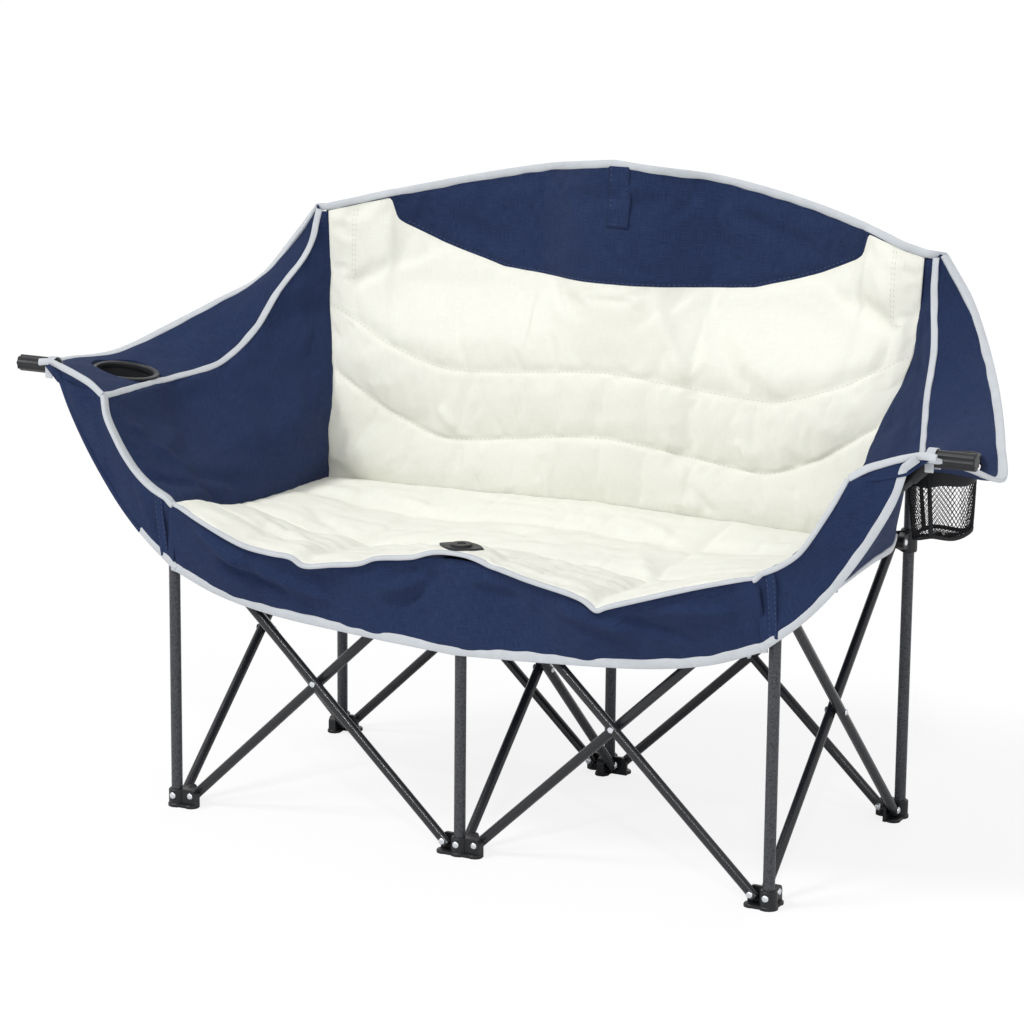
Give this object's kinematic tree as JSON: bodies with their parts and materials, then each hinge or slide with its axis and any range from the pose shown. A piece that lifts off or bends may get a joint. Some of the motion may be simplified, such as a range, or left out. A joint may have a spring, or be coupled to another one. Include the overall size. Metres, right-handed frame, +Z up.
{
  "type": "folding camping loveseat",
  "caption": "Two-seat folding camping chair: quilted sling with high back and winged arms with cup holders, on a scissor frame of painted tubes with moulded feet.",
  "frame": {"origin": "on the ground under the middle of the whole", "axes": "+X to the sitter's left, along the seat; the sitter faces -Y; +Z up"},
  "size_m": [1.436, 0.577, 0.9054],
  "materials": {
    "tube_paint": "satin black hammer paint on steel tube",
    "moulded_plastic": "black moulded nylon, lightly grained",
    "rivet_steel": "zinc plated rivet",
    "side_cloth": "navy polyester canvas",
    "quilted_cloth": "cream polyester, padded and quilted, navy behind",
    "webbing": "pale grey binding tape",
    "net": "black knitted mesh"
  },
  "bodies": {
    "front_centre": {"front_centre_foot": "moulded_plastic", "front_centre_post": "tube_paint"},
    "right_long_tube": {"front_right_long_tube": "tube_paint", "front_right_crossing_rivet": "rivet_steel", "right_arm_cap": "moulded_plastic", "right_arm_strap": "webbing", "right_cup_ring": "moulded_plastic", "right_cup_pouch": "net", "right_gusset": "side_cloth", "right_arm": "side_cloth", "right_side_panel": "side_cloth"},
    "front_right_hub": {"front_right_hub": "moulded_plastic"},
    "right_short_tube": {"front_right_short_tube": "tube_paint"},
    "front_right_leg": {"front_right_foot": "moulded_plastic", "front_right_post": "tube_paint"},
    "right_side_tube_front": {"side_right_tube_from_front": "tube_paint", "side_right_crossing_rivet": "rivet_steel"},
    "right_side_tube_rear": {"side_right_tube_from_rear": "tube_paint"},
    "left_long_tube": {"front_left_long_tube": "tube_paint", "front_left_crossing_rivet": "rivet_steel", "left_arm_cap": "moulded_plastic", "left_arm_strap": "webbing", "left_cup_ring": "moulded_plastic", "left_cup_pouch": "net", "left_gusset": "side_cloth", "left_arm": "side_cloth", "left_side_panel": "side_cloth"},
    "front_left_hub": {"front_left_hub": "moulded_plastic"},
    "left_short_tube": {"front_left_short_tube": "tube_paint"},
    "front_left_leg": {"front_left_foot": "moulded_plastic", "front_left_post": "tube_paint"},
    "left_side_tube_front": {"side_left_tube_from_front": "tube_paint", "side_left_crossing_rivet": "rivet_steel"},
    "left_side_tube_rear": {"side_left_tube_from_rear": "tube_paint"},
    "front_centre_hub": {"front_centre_hub": "moulded_plastic", "seat_grommet": "moulded_plastic", "apron_centre": "side_cloth"},
    "centre_tube_front": {"centre_tube_from_front": "tube_paint", "centre_crossing_rivet": "rivet_steel"},
    "rear_centre_hub": {"rear_centre_hub": "moulded_plastic"},
    "centre_tube_rear": {"centre_tube_from_rear": "tube_paint"},
    "rear_centre_leg": {"rear_centre_foot": "moulded_plastic", "rear_centre_post": "tube_paint", "back_pad": "quilted_cloth"},
    "rear_right_tube_first": {"rear_right_tube_from_centre": "tube_paint", "rear_right_crossing_rivet": "rivet_steel"},
    "rear_right_hub": {"rear_right_hub": "moulded_plastic"},
    "rear_right_tube_second": {"rear_right_tube_from_right": "tube_paint"},
    "rear_right_leg": {"rear_right_foot": "moulded_plastic", "rear_right_post": "tube_paint"},
    "rear_left_tube_first": {"rear_left_tube_from_centre": "tube_paint", "rear_left_crossing_rivet": "rivet_steel"},
    "rear_left_hub": {"rear_left_hub": "moulded_plastic"},
    "rear_left_tube_second": {"rear_left_tube_from_left": "tube_paint"},
    "rear_left_leg": {"rear_left_foot": "moulded_plastic", "rear_left_post": "tube_paint"},
    "seat_front": {"seat_front_pad": "quilted_cloth"},
    "seat_rear": {"seat_rear_pad": "quilted_cloth"}
  },
  "joints": [
    {"name": "fold", "type": "hinge", "parent": "front_centre", "child": "right_long_tube", "pos_m": [0.024, -0.23298, 0.017], "axis": [0, -1, 0], "range_deg": [0, 38], "deforming": ["back_pad", "seat_front_pad", "seat_rear_pad", "apron_centre", "left_gusset", "right_gusset", "left_arm", "right_arm", "left_side_panel", "right_side_panel", "left_cup_pouch", "right_cup_pouch"]},
    {"name": "front_right_hub_turn", "type": "hinge", "parent": "right_long_tube", "child": "front_right_hub", "pos_m": [0.436, -0.23298, 0.405], "axis": [0, -1, 0], "range_deg": [-38, 0]},
    {"name": "right_front_crossing", "type": "hinge", "parent": "right_long_tube", "child": "right_short_tube", "pos_m": [0.23, -0.23298, 0.211], "axis": [0, -1, 0], "range_deg": [-76, 0]},
    {"name": "front_right_foot_turn", "type": "hinge", "parent": "right_short_tube", "child": "front_right_leg", "pos_m": [0.436, -0.23298, 0.017], "axis": [0, -1, 0], "range_deg": [0, 38]},
    {"name": "right_side_tube_swing", "type": "hinge", "parent": "front_right_leg", "child": "right_side_tube_front", "pos_m": [0.46, -0.20898, 0.017], "axis": [1, 0, 0], "range_deg": [0, 38]},
    {"name": "right_side_crossing", "type": "hinge", "parent": "right_side_tube_front", "child": "right_side_tube_rear", "pos_m": [0.46, -0.00298, 0.211], "axis": [1, 0, 0], "range_deg": [-76, 0]},
    {"name": "left_long_tube_swing", "type": "hinge", "parent": "front_centre", "child": "left_long_tube", "pos_m": [-0.024, -0.23298, 0.017], "axis": [0, 1, 0], "range_deg": [0, 38]},
    {"name": "front_left_hub_turn", "type": "hinge", "parent": "left_long_tube", "child": "front_left_hub", "pos_m": [-0.436, -0.23298, 0.405], "axis": [0, 1, 0], "range_deg": [-38, 0]},
    {"name": "left_front_crossing", "type": "hinge", "parent": "left_long_tube", "child": "left_short_tube", "pos_m": [-0.23, -0.23298, 0.211], "axis": [0, 1, 0], "range_deg": [-76, 0]},
    {"name": "front_left_foot_turn", "type": "hinge", "parent": "left_short_tube", "child": "front_left_leg", "pos_m": [-0.436, -0.23298, 0.017], "axis": [0, 1, 0], "range_deg": [0, 38]},
    {"name": "left_side_tube_swing", "type": "hinge", "parent": "front_left_leg", "child": "left_side_tube_front", "pos_m": [-0.46, -0.20898, 0.017], "axis": [1, 0, 0], "range_deg": [0, 38]},
    {"name": "left_side_crossing", "type": "hinge", "parent": "left_side_tube_front", "child": "left_side_tube_rear", "pos_m": [-0.46, -0.00298, 0.211], "axis": [1, 0, 0], "range_deg": [-76, 0]},
    {"name": "front_centre_hub_turn", "type": "hinge", "parent": "right_short_tube", "child": "front_centre_hub", "pos_m": [0.024, -0.23298, 0.405], "axis": [0, -1, 0], "range_deg": [0, 38]},
    {"name": "centre_tube_swing", "type": "hinge", "parent": "front_centre", "child": "centre_tube_front", "pos_m": [0, -0.20898, 0.017], "axis": [1, 0, 0], "range_deg": [0, 38]},
    {"name": "rear_centre_hub_turn", "type": "hinge", "parent": "centre_tube_front", "child": "rear_centre_hub", "pos_m": [0, 0.20302, 0.405], "axis": [1, 0, 0], "range_deg": [-38, 0]},
    {"name": "centre_crossing", "type": "hinge", "parent": "centre_tube_front", "child": "centre_tube_rear", "pos_m": [0, -0.00298, 0.211], "axis": [1, 0, 0], "range_deg": [-76, 0]},
    {"name": "rear_centre_foot_turn", "type": "hinge", "parent": "centre_tube_rear", "child": "rear_centre_leg", "pos_m": [0, 0.20302, 0.017], "axis": [1, 0, 0], "range_deg": [0, 38]},
    {"name": "rear_right_tube_swing", "type": "hinge", "parent": "rear_centre_leg", "child": "rear_right_tube_first", "pos_m": [0.024, 0.22702, 0.017], "axis": [0, -1, 0], "range_deg": [0, 38]},
    {"name": "rear_right_hub_turn", "type": "hinge", "parent": "rear_right_tube_first", "child": "rear_right_hub", "pos_m": [0.436, 0.22702, 0.405], "axis": [0, -1, 0], "range_deg": [-38, 0]},
    {"name": "rear_right_crossing", "type": "hinge", "parent": "rear_right_tube_first", "child": "rear_right_tube_second", "pos_m": [0.23, 0.22702, 0.211], "axis": [0, -1, 0], "range_deg": [-76, 0]},
    {"name": "rear_right_foot_turn", "type": "hinge", "parent": "rear_right_tube_second", "child": "rear_right_leg", "pos_m": [0.436, 0.22702, 0.017], "axis": [0, -1, 0], "range_deg": [0, 38]},
    {"name": "rear_left_tube_swing", "type": "hinge", "parent": "rear_centre_leg", "child": "rear_left_tube_first", "pos_m": [-0.024, 0.22702, 0.017], "axis": [0, 1, 0], "range_deg": [0, 38]},
    {"name": "rear_left_hub_turn", "type": "hinge", "parent": "rear_left_tube_first", "child": "rear_left_hub", "pos_m": [-0.436, 0.22702, 0.405], "axis": [0, 1, 0], "range_deg": [-38, 0]},
    {"name": "rear_left_crossing", "type": "hinge", "parent": "rear_left_tube_first", "child": "rear_left_tube_second", "pos_m": [-0.23, 0.22702, 0.211], "axis": [0, 1, 0], "range_deg": [-76, 0]},
    {"name": "rear_left_foot_turn", "type": "hinge", "parent": "rear_left_tube_second", "child": "rear_left_leg", "pos_m": [-0.436, 0.22702, 0.017], "axis": [0, 1, 0], "range_deg": [0, 38]},
    {"name": "seat_front_fold", "type": "hinge", "parent": "front_centre_hub", "child": "seat_front", "pos_m": [0, -0.23298, 0.43], "axis": [-1, 0, 0], "range_deg": [0, 78.5]},
    {"name": "seat_rear_fold", "type": "hinge", "parent": "rear_centre_hub", "child": "seat_rear", "pos_m": [0, 0.17402, 0.417], "axis": [1, 0, 0], "range_deg": [0, 78.5]}
  ],
  "couplings": [
    {"joint": "front_right_hub_turn", "follows": "fold", "ratio": -1},
    {"joint": "right_front_crossing", "follows": "fold", "ratio": -2},
    {"joint": "front_right_foot_turn", "follows": "fold", "ratio": 1},
    {"joint": "right_side_tube_swing", "follows": "fold", "ratio": 1},
    {"joint": "right_side_crossing", "follows": "fold", "ratio": -2},
    {"joint": "left_long_tube_swing", "follows": "fold", "ratio": 1},
    {"joint": "front_left_hub_turn", "follows": "fold", "ratio": -1},
    {"joint": "left_front_crossing", "follows": "fold", "ratio": -2},
    {"joint": "front_left_foot_turn", "follows": "fold", "ratio": 1},
    {"joint": "left_side_tube_swing", "follows": "fold", "ratio": 1},
    {"joint": "left_side_crossing", "follows": "fold", "ratio": -2},
    {"joint": "front_centre_hub_turn", "follows": "fold", "ratio": 1},
    {"joint": "centre_tube_swing", "follows": "fold", "ratio": 1},
    {"joint": "rear_centre_hub_turn", "follows": "fold", "ratio": -1},
    {"joint": "centre_crossing", "follows": "fold", "ratio": -2},
    {"joint": "rear_centre_foot_turn", "follows": "fold", "ratio": 1},
    {"joint": "rear_right_tube_swing", "follows": "fold", "ratio": 1},
    {"joint": "rear_right_hub_turn", "follows": "fold", "ratio": -1},
    {"joint": "rear_right_crossing", "follows": "fold", "ratio": -2},
    {"joint": "rear_right_foot_turn", "follows": "fold", "ratio": 1},
    {"joint": "rear_left_tube_swing", "follows": "fold", "ratio": 1},
    {"joint": "rear_left_hub_turn", "follows": "fold", "ratio": -1},
    {"joint": "rear_left_crossing", "follows": "fold", "ratio": -2},
    {"joint": "rear_left_foot_turn", "follows": "fold", "ratio": 1},
    {"joint": "seat_front_fold", "follows": "fold", "ratio": 2.0658},
    {"joint": "seat_rear_fold", "follows": "fold", "ratio": 2.0658}
  ]
}
